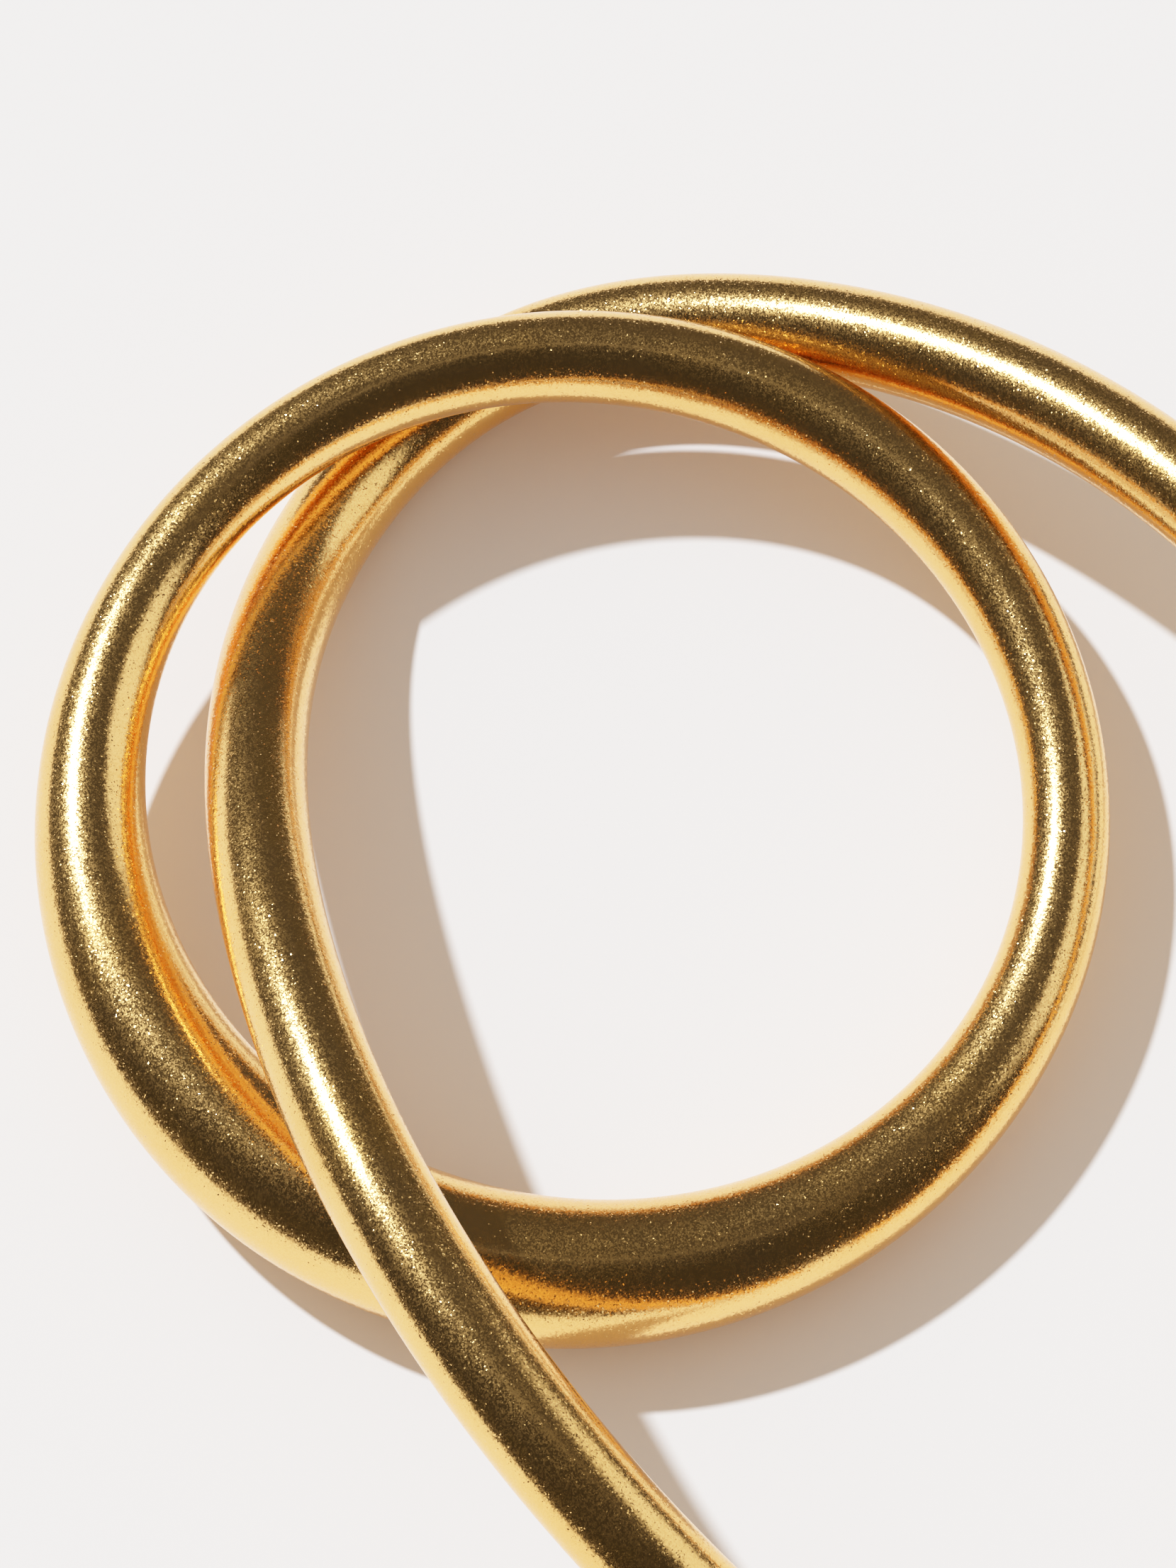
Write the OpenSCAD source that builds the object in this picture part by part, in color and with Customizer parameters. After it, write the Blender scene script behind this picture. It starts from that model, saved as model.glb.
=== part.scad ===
// Disentanglement puzzle: two linked metal rings, drawn as they lie on a level surface.
// The closed ring is a flat circle of round wire that swells to a heavy side.
// The open ring is a longer loop of even wire that is bent up and down on its way round
// and has a gap at its far end, wide enough for the closed ring's thin half only.
// Sizes are in millimetres. +Z is up and the surface is at z = 0.
// The origin is on the surface, under the middle of the pair's outer box.

/* [Closed ring] */
// Diameter through the middle of the wire
closed_diameter = 52; // [50:0.2:52.2]
// Mean thickness of the wire
closed_wire = 5.8; // [5.4:0.1:6]
// Thickness added at the heavy side and taken off opposite it
heavy_swell = 1.44; // [1.3:0.02:1.8]
// Direction of the heavy side, in degrees round the ring
heavy_angle = 247; // [235:1:260]
// Thickness added at two opposite places and taken off between them
oval_swell = 0.92; // [0:0.02:1.2]
// Direction of the first of those two places
oval_angle = 65; // [50:1:80]
// Angle between the ring and the level surface
lean = 5.3; // [5:0.1:5.8]
// Direction in which the leaning ring rises
lean_angle = 114; // [105:1:120]

/* [Open ring] */
// Length of the loop through the middle of the wire
loop_length = 91.2; // [91:0.2:95]
// Width of the loop through the middle of the wire
loop_width = 58.6; // [58:0.2:62]
// Direction of the loop's far end, where its gap is
loop_angle = -63; // [-67:1:-63]
// Thickness of the wire
loop_wire = 5.4; // [4.6:0.1:5.4]
// Gap between the two rounded ends
loop_gap = 5.6; // [5.4:0.1:9]
// Place of the loop's middle, east of the closed ring's middle
loop_east = 16.2; // [15.8:0.1:17.2]
// Place of the loop's middle, south of the closed ring's middle
loop_south = 12.6; // [12:0.1:12.7]

/* [Open ring bends] */
// Height that pulls on the wire at each twelfth of the way round, from the far end on
bends = [2.7, 2.5, 9.2, 15.2, 11.8, 5.2, 3.1, 1.7, 11.9, 17.4, 15.5, 3];

/* [Fineness] */
// Steps round the closed ring
closed_steps = 120; // [72:12:144]
// Steps round the open ring
loop_steps = 144; // [96:12:168]
// Sides of each wire
wire_sides = 24; // [16:4:28]
// Steps in the rounding of each free end
end_steps = 6; // [3:1:8]

/* [Colour] */
// Satin gold
gold = [0.80, 0.62, 0.28];

/* [Hidden] */
up = [0, 0, 1];
closed_radius = closed_diameter / 2;
loop_radius = loop_wire / 2;
loop_middle = [loop_east, -loop_south, 0];
// Degrees either way over which the open ring's direction is measured
small_turn = 0.1;

function unit(v) = v / norm(v);

// Closed ring: its plane, the middle of its wire and the radius of its wire at angle a
closed_normal = [
  -sin(lean) * cos(lean_angle),
  -sin(lean) * sin(lean_angle),
  cos(lean)
];
closed_u = unit([1, 0, 0] - closed_normal * closed_normal[0]);
closed_v = cross(closed_normal, closed_u);

function closed_out(a) = closed_u * cos(a) + closed_v * sin(a);
function closed_wire_radius(a) =
  (closed_wire
    + heavy_swell * cos(a - heavy_angle)
    + oval_swell * cos(2 * (a - oval_angle))) / 2;
function closed_section(a) = [
  for (k = [0 : wire_sides - 1])
    let (b = 360 * k / wire_sides)
      closed_out(a) * closed_radius
        + closed_wire_radius(a) * (closed_out(a) * cos(b) + closed_normal * sin(b))
];

// Open ring: a smooth pull of each bend on its neighbours, then the middle of its wire at t
function pull(u) =
  u < 1 ? 2 / 3 - u * u + u * u * u / 2
  : u < 2 ? pow(2 - u, 3) / 6
  : 0;
function steps_apart(t, i) =
  let (n = len(bends), d = abs(t * n / 360 - i) % n) min(d, n - d);
function loop_height(t, i = 0) =
  i == len(bends) ? 0 : bends[i] * pull(steps_apart(t, i)) + loop_height(t, i + 1);
function loop_point(t) =
  let (along = loop_length / 2 * cos(t), across = loop_width / 2 * sin(t))
    loop_middle + [
      along * cos(loop_angle) - across * sin(loop_angle),
      along * sin(loop_angle) + across * cos(loop_angle),
      loop_height(t)
    ];
function loop_ahead(t) = loop_point(t + small_turn) - loop_point(t - small_turn);
function loop_forward(t) = unit(loop_ahead(t));
function loop_section(t, radius) =
  let (forward = loop_forward(t), out = unit(cross(forward, up)), over = cross(out, forward)) [
    for (k = [0 : wire_sides - 1])
      let (b = 360 * k / wire_sides)
        loop_point(t) + radius * (out * cos(b) + over * sin(b))
  ];

// Degrees of the way round that one millimetre of wire takes up at the far end
end_rate = 2 * small_turn / norm(loop_ahead(0));
loop_start = end_rate * (loop_gap / 2 + loop_radius);
loop_end = 360 - loop_start;

closed_rings = [
  for (i = [0 : closed_steps - 1])
    closed_section(360 * i / closed_steps)
];
loop_rings = concat(
  [
    for (i = [1 : end_steps])
      let (b = 90 * i / end_steps)
        loop_section(loop_start - end_rate * loop_radius * cos(b), loop_radius * sin(b))
  ],
  [
    for (i = [1 : loop_steps - 1])
      loop_section(loop_start + (loop_end - loop_start) * i / loop_steps, loop_radius)
  ],
  [
    for (i = [end_steps : -1 : 1])
      let (b = 90 * i / end_steps)
        loop_section(loop_end + end_rate * loop_radius * cos(b), loop_radius * sin(b))
  ]
);

function all_points(rings) = [for (ring = rings, p = ring) p];
function lowest(points, axis) = min([for (p = points) p[axis]]);
function highest(points, axis) = max([for (p = points) p[axis]]);

// Each ring is let down until it rests on the surface, then the pair is centred
closed_points = all_points(closed_rings);
loop_points = all_points(loop_rings);
closed_lift = -lowest(closed_points, 2);
loop_lift = -lowest(loop_points, 2);
pair_points = concat(closed_points, loop_points);
pair_middle = [
  (lowest(pair_points, 0) + highest(pair_points, 0)) / 2,
  (lowest(pair_points, 1) + highest(pair_points, 1)) / 2,
  0
];

// Two triangles for each square between neighbouring sections
function skin(count, wrap) = [
  for (i = [0 : count - (wrap ? 1 : 2)], k = [0 : wire_sides - 1])
    let (
      a = i * wire_sides + k,
      b = i * wire_sides + (k + 1) % wire_sides,
      c = (i + 1) % count * wire_sides + k,
      d = (i + 1) % count * wire_sides + (k + 1) % wire_sides
    )
      each [[a, c, d], [a, d, b]]
];

module closed_ring() {
  color(gold)
    translate(closed_lift * up - pair_middle)
      polyhedron(points = closed_points, faces = skin(len(closed_rings), true), convexity = 6);
}

module open_ring() {
  count = len(loop_rings);
  first_tip = len(loop_points);
  last_tip = first_tip + 1;
  last_base = (count - 1) * wire_sides;
  tips = [
    loop_point(loop_start - end_rate * loop_radius),
    loop_point(loop_end + end_rate * loop_radius)
  ];
  first_cap = [for (k = [0 : wire_sides - 1]) [first_tip, k, (k + 1) % wire_sides]];
  last_cap = [
    for (k = [0 : wire_sides - 1])
      [last_tip, last_base + (k + 1) % wire_sides, last_base + k]
  ];
  color(gold)
    translate(loop_lift * up - pair_middle)
      polyhedron(
        points = concat(loop_points, tips),
        faces = concat(skin(count, false), first_cap, last_cap),
        convexity = 8
      );
}

closed_ring();
open_ring();
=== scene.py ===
import math

import bpy
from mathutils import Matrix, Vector


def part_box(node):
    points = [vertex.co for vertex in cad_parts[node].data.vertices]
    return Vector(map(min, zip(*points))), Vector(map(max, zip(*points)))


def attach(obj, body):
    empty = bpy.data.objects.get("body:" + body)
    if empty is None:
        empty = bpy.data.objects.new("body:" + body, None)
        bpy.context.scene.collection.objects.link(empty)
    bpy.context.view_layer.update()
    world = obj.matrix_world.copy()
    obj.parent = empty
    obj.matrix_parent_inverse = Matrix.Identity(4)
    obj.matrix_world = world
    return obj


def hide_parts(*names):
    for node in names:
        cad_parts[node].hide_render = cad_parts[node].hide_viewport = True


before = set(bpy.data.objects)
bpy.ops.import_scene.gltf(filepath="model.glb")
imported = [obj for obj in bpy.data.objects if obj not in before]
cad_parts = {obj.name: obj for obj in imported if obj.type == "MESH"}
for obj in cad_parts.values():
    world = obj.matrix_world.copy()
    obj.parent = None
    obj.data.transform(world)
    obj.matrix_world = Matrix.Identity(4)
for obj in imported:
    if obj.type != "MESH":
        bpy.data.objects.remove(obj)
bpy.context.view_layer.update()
millimetre = 0.001


def deselectAll():
    bpy.ops.object.select_all(action="DESELECT")


def pointAt(azimuth, elevation):
    # unit direction from the part: azimuth counter-clockwise from +X, elevation above the table
    across = math.cos(math.radians(elevation))
    return Vector((
        across * math.cos(math.radians(azimuth)),
        across * math.sin(math.radians(azimuth)),
        math.sin(math.radians(elevation)),
    ))


print("camera")

camera = {
    "azimuth": -89.88,  # where the camera stands, seen from the part
    "elevation": 64.87,
    "distance": 269.3 * millimetre,
    "aimBeyond": Vector((0.7, 4.4, 0)) * millimetre,  # the aim, from the closed ring's middle
    "lens": 113.0,
    "sensor": 36.0,
    "nearest": 10 * millimetre,
    "farthest": 20,
}

lowRing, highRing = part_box("closed_ring")
aim = (lowRing + highRing) / 2 + camera["aimBeyond"]
aim.z = 0
standing = aim + pointAt(camera["azimuth"], camera["elevation"]) * camera["distance"]
deselectAll()
bpy.ops.object.camera_add(location=standing)
cameraObject = bpy.context.object
cameraObject.name = "tableCamera"
cameraObject.rotation_euler = (aim - standing).to_track_quat("-Z", "Y").to_euler()
cameraObject.data.lens = camera["lens"]
cameraObject.data.sensor_width = camera["sensor"]
cameraObject.data.clip_start = camera["nearest"]
cameraObject.data.clip_end = camera["farthest"]
bpy.context.scene.camera = cameraObject


# small helpers for the node trees

def addNode(tree, kind, place, **settings):
    node = tree.nodes.new(kind)
    node.location = place
    for name, value in settings.items():
        setattr(node, name, value)
    return node


def setInputs(node, **values):
    for name, value in values.items():
        node.inputs[name.replace("_", " ")].default_value = value


def mathNode(tree, operation, place, first, second=None, third=None):
    node = addNode(tree, "ShaderNodeMath", place, operation=operation)
    for socket, value in zip(node.inputs, (first, second, third)):
        if isinstance(value, (int, float)):
            socket.default_value = value
        elif value is not None:
            tree.links.new(value, socket)
    return node.outputs[0]


def mapRange(tree, place, value, fromLow, fromHigh, toLow, toHigh, smooth=False):
    node = addNode(tree, "ShaderNodeMapRange", place)
    if smooth:
        node.interpolation_type = "SMOOTHSTEP"
    tree.links.new(value, node.inputs["Value"])
    ends = {"From Min": fromLow, "From Max": fromHigh, "To Min": toLow, "To Max": toHigh}
    for name, end in ends.items():
        if isinstance(end, (int, float)):
            node.inputs[name].default_value = end
        else:
            tree.links.new(end, node.inputs[name])
    return node.outputs["Result"]


def mixColours(tree, place, factor, first, second):
    node = addNode(tree, "ShaderNodeMix", place, data_type="RGBA")
    factorSocket, firstSocket, secondSocket = node.inputs[0], node.inputs[6], node.inputs[7]
    tree.links.new(factor, factorSocket)
    tree.links.new(first, firstSocket)
    tree.links.new(second, secondSocket)
    return node.outputs[2]


def newGroup(name, inputs, outputs):
    group = bpy.data.node_groups.new(name, "ShaderNodeTree")
    for label, kind in inputs:
        group.interface.new_socket(label, in_out="INPUT", socket_type=kind)
    for label, kind in outputs:
        group.interface.new_socket(label, in_out="OUTPUT", socket_type=kind)
    entry = addNode(group, "NodeGroupInput", (-1400, 0))
    leave = addNode(group, "NodeGroupOutput", (900, 0))
    return group, entry, leave


print("gold")

grainShape = {
    "wavesPerMetre": 190.0,
    "waveDetail": 1.0,
    "waveRoughness": 0.4,
    "flakeFineness": 1.37,  # how much closer together the far-leaning grains are than the others
    "flakeRarity": 7.0,  # the higher it is, the fewer grains lean far
}


def buildGrainGroup(choice):
    # fine satin grain: most grains lean a little, a few lean far enough to catch the light
    group, entry, leave = newGroup(
        "satinGrain",
        [
            ("Place", "NodeSocketVector"),
            ("Grains per Metre", "NodeSocketFloat"),
            ("Small Lean", "NodeSocketFloat"),
            ("Large Lean", "NodeSocketFloat"),
            ("Wave Depth", "NodeSocketFloat"),
        ],
        [("Normal", "NodeSocketVector"), ("Grain", "NodeSocketFloat")],
    )
    link = group.links.new
    surface = addNode(group, "ShaderNodeNewGeometry", (-1200, -500))
    waves = addNode(group, "ShaderNodeTexNoise", (-1200, 300))
    setInputs(
        waves, Scale=choice["wavesPerMetre"], Detail=choice["waveDetail"], Roughness=choice["waveRoughness"]
    )
    link(entry.outputs["Place"], waves.inputs["Vector"])
    bump = addNode(group, "ShaderNodeBump", (-900, 300))
    link(waves.outputs["Fac"], bump.inputs["Height"])
    link(entry.outputs["Wave Depth"], bump.inputs["Distance"])
    link(surface.outputs["Normal"], bump.inputs["Normal"])

    grains = addNode(group, "ShaderNodeTexVoronoi", (-1200, 50))
    link(entry.outputs["Place"], grains.inputs["Vector"])
    link(entry.outputs["Grains per Metre"], grains.inputs["Scale"])
    centred = addNode(group, "ShaderNodeVectorMath", (-900, 0), operation="SUBTRACT")
    link(grains.outputs["Color"], centred.inputs[0])
    centred.inputs[1].default_value = (0.5, 0.5, 0.5)

    flakes = addNode(group, "ShaderNodeTexVoronoi", (-1200, -250))  # which grains lean far
    link(entry.outputs["Place"], flakes.inputs["Vector"])
    finer = mathNode(
        group, "MULTIPLY", (-1400, -300), entry.outputs["Grains per Metre"], choice["flakeFineness"]
    )
    link(finer, flakes.inputs["Scale"])
    apart = addNode(group, "ShaderNodeSeparateColor", (-1000, -250))
    link(flakes.outputs["Color"], apart.inputs["Color"])
    rare = mathNode(group, "POWER", (-820, -250), apart.outputs["Red"], choice["flakeRarity"])
    large = mathNode(group, "MULTIPLY", (-660, -250), rare, entry.outputs["Large Lean"])
    lean = mathNode(group, "ADD", (-500, -250), large, entry.outputs["Small Lean"])
    leaning = addNode(group, "ShaderNodeVectorMath", (-500, 0), operation="SCALE")
    link(centred.outputs["Vector"], leaning.inputs[0])
    link(lean, leaning.inputs["Scale"])

    tilted = addNode(group, "ShaderNodeVectorMath", (-250, 100), operation="ADD")
    link(bump.outputs["Normal"], tilted.inputs[0])
    link(leaning.outputs["Vector"], tilted.inputs[1])
    unit = addNode(group, "ShaderNodeVectorMath", (-50, 100), operation="NORMALIZE")
    link(tilted.outputs["Vector"], unit.inputs[0])
    link(unit.outputs["Vector"], leave.inputs["Normal"])
    link(apart.outputs["Green"], leave.inputs["Grain"])
    return group


wearShape = {
    "patchesPerMetre": 110.0,
    "patchDetail": 3.0,
    "patchRoughness": 0.55,
    "patchFrom": 0.4,  # where a soft patch begins to show, and where it is full
    "patchTo": 0.7,
    "patchDepth": 0.5,
    "grainDulling": 0.5,  # how much a dull grain changes the colour
    "mattFrom": 0.2,  # from which grains on the gold is matt
    "mattTo": 0.8,
    "mattMost": 0.85,
    "patchMatting": 0.3,  # how much a soft patch adds to it
}


def buildWearGroup(choice):
    # grains are polished or matt, and handling has dulled the gold in soft patches
    group, entry, leave = newGroup(
        "handledMetal",
        [
            ("Place", "NodeSocketVector"),
            ("Grain", "NodeSocketFloat"),
            ("Clean Colour", "NodeSocketColor"),
            ("Dull Colour", "NodeSocketColor"),
            ("Polished Roughness", "NodeSocketFloat"),
            ("Matt Roughness", "NodeSocketFloat"),
        ],
        [("Colour", "NodeSocketColor"), ("Roughness", "NodeSocketFloat")],
    )
    link = group.links.new
    patches = addNode(group, "ShaderNodeTexNoise", (-1100, 200))
    setInputs(
        patches, Scale=choice["patchesPerMetre"], Detail=choice["patchDetail"],
        Roughness=choice["patchRoughness"],
    )
    link(entry.outputs["Place"], patches.inputs["Vector"])
    patchMask = mapRange(
        group, (-850, 200), patches.outputs["Fac"],
        choice["patchFrom"], choice["patchTo"], 0.0, choice["patchDepth"], smooth=True,
    )
    colourMask = mathNode(
        group, "MULTIPLY_ADD", (-600, 200), entry.outputs["Grain"], choice["grainDulling"], patchMask
    )
    colour = mixColours(
        group, (-300, 200), colourMask, entry.outputs["Clean Colour"], entry.outputs["Dull Colour"]
    )
    matt = mapRange(
        group, (-850, -100), entry.outputs["Grain"],
        choice["mattFrom"], choice["mattTo"], 0.0, choice["mattMost"], smooth=True,
    )
    roughMask = mathNode(group, "MULTIPLY_ADD", (-600, -100), patchMask, choice["patchMatting"], matt)
    rough = mapRange(
        group, (-300, -100), roughMask, 0.0, 1.0,
        entry.outputs["Polished Roughness"], entry.outputs["Matt Roughness"],
    )
    link(colour, leave.inputs["Colour"])
    link(rough, leave.inputs["Roughness"])
    return group


satinGrain = buildGrainGroup(grainShape)
handledMetal = buildWearGroup(wearShape)


satinGold = {
    "cleanColour": (1.0, 0.57, 0.19, 1),
    "dullColour": (0.93, 0.50, 0.14, 1),
    "polishedRoughness": 0.12,
    "mattRoughness": 0.27,
    "grainsPerMetre": 10500.0,
    "smallLean": 0.035,
    "largeLean": 0.5,
    "waveDepth": 0.05 * millimetre,
}


def goldMaterial(name, patternShift, choice):
    material = bpy.data.materials.new(name)
    material.use_nodes = True
    tree = material.node_tree
    tree.nodes.clear()
    link = tree.links.new
    place = addNode(tree, "ShaderNodeTexCoord", (-1100, 0))
    shift = addNode(tree, "ShaderNodeMapping", (-900, 0))
    setInputs(shift, Location=patternShift)
    link(place.outputs["Object"], shift.inputs["Vector"])

    grain = addNode(tree, "ShaderNodeGroup", (-600, -200), node_tree=satinGrain)
    link(shift.outputs["Vector"], grain.inputs["Place"])
    setInputs(
        grain, Grains_per_Metre=choice["grainsPerMetre"], Small_Lean=choice["smallLean"],
        Large_Lean=choice["largeLean"], Wave_Depth=choice["waveDepth"],
    )

    wear = addNode(tree, "ShaderNodeGroup", (-600, 200), node_tree=handledMetal)
    link(shift.outputs["Vector"], wear.inputs["Place"])
    link(grain.outputs["Grain"], wear.inputs["Grain"])
    setInputs(
        wear, Clean_Colour=choice["cleanColour"], Dull_Colour=choice["dullColour"],
        Polished_Roughness=choice["polishedRoughness"], Matt_Roughness=choice["mattRoughness"],
    )

    shader = addNode(tree, "ShaderNodeBsdfPrincipled", (0, 0))
    setInputs(shader, Metallic=1.0)
    link(wear.outputs["Colour"], shader.inputs["Base Color"])
    link(wear.outputs["Roughness"], shader.inputs["Roughness"])
    link(grain.outputs["Normal"], shader.inputs["Normal"])
    end = addNode(tree, "ShaderNodeOutputMaterial", (300, 0))
    link(shader.outputs["BSDF"], end.inputs["Surface"])
    return material


wireSurface = {
    "weld": 0.001 * millimetre,
    "quadAngle": math.radians(40),
    "fatten": 0.03 * millimetre,  # the smoothing takes this off again
    "smoothLevels": 2,
}


def buildRing(choice, surface):
    deselectAll()
    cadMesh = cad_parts[choice["node"]].data.copy()
    ring = bpy.data.objects.new(choice["name"], cadMesh)
    bpy.context.scene.collection.objects.link(ring)
    bpy.context.view_layer.objects.active = ring
    ring.select_set(True)
    bpy.ops.object.mode_set(mode="EDIT")
    bpy.ops.mesh.select_all(action="SELECT")
    bpy.ops.mesh.remove_doubles(threshold=surface["weld"])
    bpy.ops.mesh.tris_convert_to_quads(
        face_threshold=surface["quadAngle"], shape_threshold=surface["quadAngle"]
    )
    bpy.ops.mesh.normals_make_consistent(inside=False)
    bpy.ops.transform.shrink_fatten(value=surface["fatten"])
    bpy.ops.object.mode_set(mode="OBJECT")
    smoothing = ring.modifiers.new("smoothWire", "SUBSURF")
    smoothing.levels = surface["smoothLevels"]
    smoothing.render_levels = surface["smoothLevels"]
    bpy.ops.object.modifier_apply(modifier=smoothing.name)
    bpy.ops.object.shade_smooth()
    ring.data.materials.clear()
    ring.data.materials.append(goldMaterial(choice["gold"], choice["patternShift"], satinGold))
    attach(ring, choice["body"])
    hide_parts(choice["node"])
    print("  ", choice["name"], len(ring.data.polygons), "faces")
    return ring


print("closed ring")

closedRing = {
    "name": "closedRing",
    "node": "closed_ring",
    "body": "ring",
    "slot": "ring_gold",
    "gold": "ringGold",
    "patternShift": (0, 0, 0),
}
buildRing(closedRing, wireSurface)

print("open ring")

openRing = {
    "name": "openRing",
    "node": "open_ring",
    "body": "loop",
    "slot": "loop_gold",
    "gold": "loopGold",
    "patternShift": (0.3, 0.1, 0.2),
}
buildRing(openRing, wireSurface)


print("paper and light")

paper = {
    "width": 4.0,
    "colour": (0.84, 0.84, 0.84, 1),
    "roughness": 0.9,
    "sheen": 0.1,
    "tooth": 0.01 * millimetre,  # height of the paper's tooth
    "toothPerMetre": 1500.0,
    "toothDetail": 3.0,
    "toothRoughness": 0.6,
}


def buildPaper(choice):
    deselectAll()
    bpy.ops.mesh.primitive_plane_add(size=choice["width"], location=(0, 0, 0))
    sheet = bpy.context.object
    sheet.name = "paper"
    material = bpy.data.materials.new("whitePaper")
    material.use_nodes = True
    tree = material.node_tree
    shader = tree.nodes["Principled BSDF"]
    setInputs(
        shader, Base_Color=choice["colour"], Roughness=choice["roughness"], Specular_IOR_Level=choice["sheen"]
    )
    place = addNode(tree, "ShaderNodeTexCoord", (-900, -200))
    tooth = addNode(tree, "ShaderNodeTexNoise", (-700, -200))
    setInputs(
        tooth, Scale=choice["toothPerMetre"], Detail=choice["toothDetail"], Roughness=choice["toothRoughness"]
    )
    tree.links.new(place.outputs["Object"], tooth.inputs["Vector"])
    bump = addNode(tree, "ShaderNodeBump", (-400, -200))
    setInputs(bump, Distance=choice["tooth"])
    tree.links.new(tooth.outputs["Fac"], bump.inputs["Height"])
    tree.links.new(bump.outputs["Normal"], shader.inputs["Normal"])
    sheet.data.materials.append(material)


buildPaper(paper)

keyLight = {
    "azimuth": 143.7,  # where the light stands, counter-clockwise from +X
    "elevation": 49.6,
    "strength": 10.0,
    "colour": (0.975, 1.0, 1.04),
    "angle": 2.5,
}


def buildKeyLight(choice):
    deselectAll()
    towards = pointAt(choice["azimuth"], choice["elevation"])
    bpy.ops.object.light_add(type="SUN", location=towards)
    sun = bpy.context.object
    sun.name = "keyLight"
    sun.rotation_euler = towards.to_track_quat("Z", "Y").to_euler()
    sun.data.energy = choice["strength"]
    sun.data.color = choice["colour"]
    sun.data.angle = math.radians(choice["angle"])


buildKeyLight(keyLight)

room = {
    "fill": 1.25,  # soft light that the paper gets from all round
    "fillColour": (1.0, 0.82, 0.68, 1),
    "plainColour": (1, 1, 1, 1),
    "backdrop": 3.0,  # what shows beyond the paper's edge
    "north": 0.115,  # what the gold mirrors from beyond the rings
    "cameraSide": 0.065,  # and from the side where the camera stands
    "cameraSideEnds": -0.3,  # how far over the rings the one turns into the other
    "northBegins": 0.2,
    "skylight": 0.45,  # a thin pale line overhead, running from side to side
    "skylightPlace": 0.03,
    "skylightWidth": 0.06,
    "skylightSpan": 0.5,
    "window": 2.5,  # a pale patch low on the right, where a window would be
    "windowAzimuth": 18,
    "windowElevation": 30,
    "windowCore": 17,  # degrees from its middle to where it fades, and to where it ends
    "windowEdge": 25,
}


def buildRoom(choice):
    world = bpy.data.worlds.new("room")
    bpy.context.scene.world = world
    world.use_nodes = True
    tree = world.node_tree
    tree.nodes.clear()
    link = tree.links.new
    path = addNode(tree, "ShaderNodeLightPath", (-600, 500))
    place = addNode(tree, "ShaderNodeTexCoord", (-1400, 0))
    apart = addNode(tree, "ShaderNodeSeparateXYZ", (-1200, 0))
    link(place.outputs["Generated"], apart.inputs["Vector"])
    away = mapRange(
        tree, (-1000, 100), apart.outputs["Y"], choice["cameraSideEnds"], choice["northBegins"],
        0.0, 1.0, smooth=True,
    )
    sides = mapRange(tree, (-800, 100), away, 0.0, 1.0, choice["cameraSide"], choice["north"])
    aside = mathNode(tree, "ABSOLUTE", (-1000, -150), apart.outputs["X"])
    line = mapRange(
        tree, (-800, -150), aside, 0.0, choice["skylightSpan"], choice["skylight"], 0.0, smooth=True
    )
    beside = mathNode(tree, "SUBTRACT", (-1000, -400), apart.outputs["Y"], choice["skylightPlace"])
    offLine = mathNode(tree, "ABSOLUTE", (-900, -400), beside)
    thin = mapRange(tree, (-800, -400), offLine, 0.0, choice["skylightWidth"], 1.0, 0.0, smooth=True)
    dark = mathNode(tree, "MULTIPLY_ADD", (-600, 0), line, thin, sides)
    towardsWindow = addNode(tree, "ShaderNodeVectorMath", (-1000, -600), operation="DOT_PRODUCT")
    link(place.outputs["Generated"], towardsWindow.inputs[0])
    towardsWindow.inputs[1].default_value = pointAt(choice["windowAzimuth"], choice["windowElevation"])
    window = mapRange(
        tree, (-800, -600), towardsWindow.outputs["Value"],
        math.cos(math.radians(choice["windowEdge"])), math.cos(math.radians(choice["windowCore"])),
        0.0, choice["window"], smooth=True,
    )
    mirrored = mathNode(tree, "ADD", (-500, -100), dark, window)
    gloss = mathNode(tree, "MULTIPLY", (-400, 0), mirrored, path.outputs["Is Glossy Ray"])
    seen = mathNode(tree, "MULTIPLY", (-400, 300), path.outputs["Is Camera Ray"], choice["backdrop"])
    plain = mathNode(tree, "ADD", (-200, 100), gloss, seen)
    soft = mathNode(tree, "MULTIPLY", (-400, 600), path.outputs["Is Diffuse Ray"], choice["fill"])
    neutral = addNode(tree, "ShaderNodeBackground", (0, 100))
    link(plain, neutral.inputs["Strength"])
    neutral.inputs["Color"].default_value = choice["plainColour"]
    warm = addNode(tree, "ShaderNodeBackground", (0, 400))
    warm.inputs["Color"].default_value = choice["fillColour"]
    link(soft, warm.inputs["Strength"])
    both = addNode(tree, "ShaderNodeAddShader", (200, 200))
    link(neutral.outputs["Background"], both.inputs[0])
    link(warm.outputs["Background"], both.inputs[1])
    end = addNode(tree, "ShaderNodeOutputWorld", (400, 200))
    link(both.outputs["Shader"], end.inputs["Surface"])


buildRoom(room)

film = {
    "brightest": 12.0,  # light that comes out pure white
    "softness": 0.7,  # how soon bright light is held back
    "stops": (0.3, 0.6, 1.0, 1.5, 2.2, 3.0, 4.5, 7.0, 9.0),  # where the curve is drawn
}


def setFilm(choice):
    # bright light is held back smoothly, as on film, so lit paper stays just under white
    settings = bpy.context.scene.view_settings
    settings.view_transform = "Standard"
    settings.use_curve_mapping = True
    mapping = settings.curve_mapping
    mapping.clip_max_x = choice["brightest"]
    curve = mapping.curves[3]
    curve.points[0].location = (0, 0)
    curve.points[1].location = (choice["brightest"], 1)
    for light in choice["stops"]:
        curve.points.new(light, 1 - math.exp(-choice["softness"] * light))
    for point in curve.points:
        point.handle_type = "AUTO_CLAMPED"
    mapping.update()


setFilm(film)
